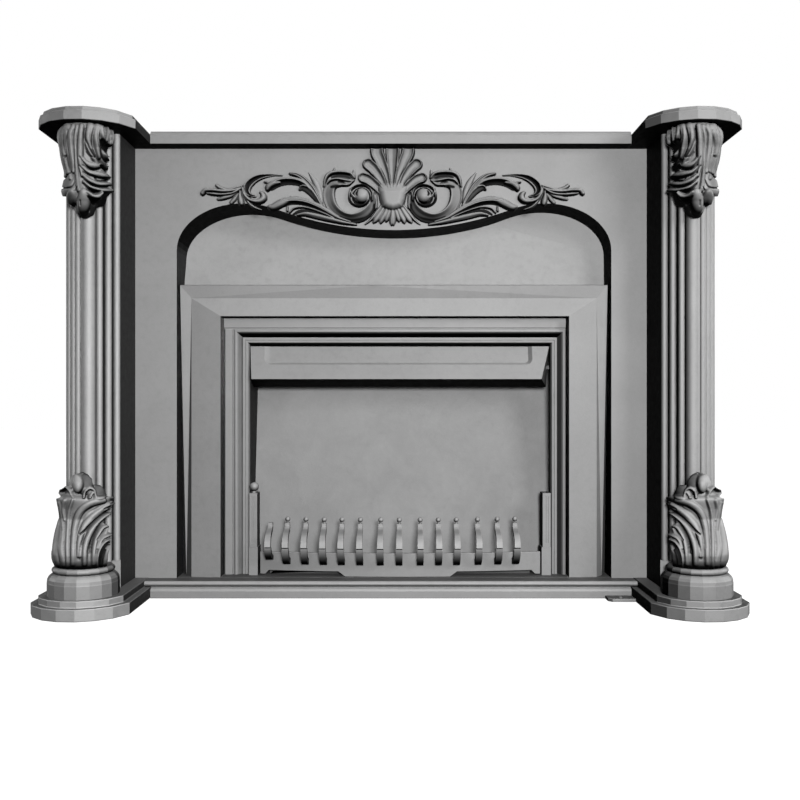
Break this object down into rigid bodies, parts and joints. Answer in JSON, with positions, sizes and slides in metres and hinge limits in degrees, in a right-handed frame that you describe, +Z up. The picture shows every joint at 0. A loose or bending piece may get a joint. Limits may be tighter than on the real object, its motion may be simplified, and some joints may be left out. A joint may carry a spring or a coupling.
{
  "type": "cast iron fireplace",
  "caption": "Cast iron fireplace: reeded columns, serpentine arched panel, bevelled insert with smoke canopy, curved fire bars, draw-out ash tray, lift-out grate and flue damper.",
  "frame": {"origin": "bottom centre of the whole object's box, on the floor", "axes": "+X to the right seen from the front, along the mantel (longest extent); -Y towards the room (front); +Y towards the wall and flue; +Z up"},
  "size_m": [1.5, 0.56, 1.053],
  "materials": {
    "iron_front": "matte bare grey cast iron",
    "iron_inner": "matte grey cast iron, slightly sooted",
    "iron_back": "rough dark cast iron",
    "steel": "dull mild steel fasteners"
  },
  "bodies": {
    "surround": {"floor_rail": "iron_front", "floor_lug": "iron_front", "plinth_left": "iron_front", "plinth_right": "iron_front", "column_base_left": "iron_front", "column_base_right": "iron_front", "column_shaft_left": "iron_front", "column_shaft_right": "iron_front", "base_acanthus_left": "iron_front", "base_acanthus_right": "iron_front", "capital_acanthus_left": "iron_front", "capital_acanthus_right": "iron_front", "capital_slab_left": "iron_front", "capital_slab_right": "iron_front", "mantel_rail": "iron_front", "front_panel": "iron_front", "shell_cartouche": "iron_front", "scroll_left": "iron_front", "scroll_right": "iron_front", "applique_studs": "steel", "column_bolts": "steel", "wall_brackets": "steel", "hood_plate": "iron_front", "insert_frame": "iron_front", "trim_frame": "iron_front", "canopy_pegs": "iron_back", "fireback": "iron_inner", "cheek_left": "iron_inner", "cheek_right": "iron_inner", "hearth_plate": "iron_inner", "hearth_bearers": "iron_back", "smoke_shelf": "iron_back", "flue_gather": "iron_back", "gather_bolts": "steel", "flue_spigot": "iron_back", "damper_brackets": "iron_back", "damper_rod": "steel", "grate_rests": "iron_inner", "post_left": "iron_front", "post_right": "iron_front", "post_ball": "iron_front"},
    "canopy": {"canopy": "iron_front"},
    "damper": {"damper_flap": "iron_back", "damper_knob": "iron_back"},
    "grate": {"fire_grate": "iron_inner"},
    "ash_drawer": {"fret_plate": "iron_front", "fire_bars": "iron_front", "bar_balls": "iron_front", "ashpan": "iron_inner", "ashpan_handle": "steel"}
  },
  "joints": [
    {"name": "canopy_draw", "type": "slide", "parent": "surround", "child": "canopy", "axis": [0, -1, 0], "range_m": [0, 0.15]},
    {"name": "damper_hinge", "type": "hinge", "parent": "surround", "child": "damper", "pos_m": [0.02, 0.232, 0.66], "axis": [-1, 0, 0], "range_deg": [0, 75]},
    {"name": "grate_lift", "type": "slide", "parent": "surround", "child": "grate", "axis": [0, 0, 1], "range_m": [0, 0.2]},
    {"name": "ash_drawer_slide", "type": "slide", "parent": "surround", "child": "ash_drawer", "axis": [0, -1, 0], "range_m": [0, 0.2]}
  ]
}
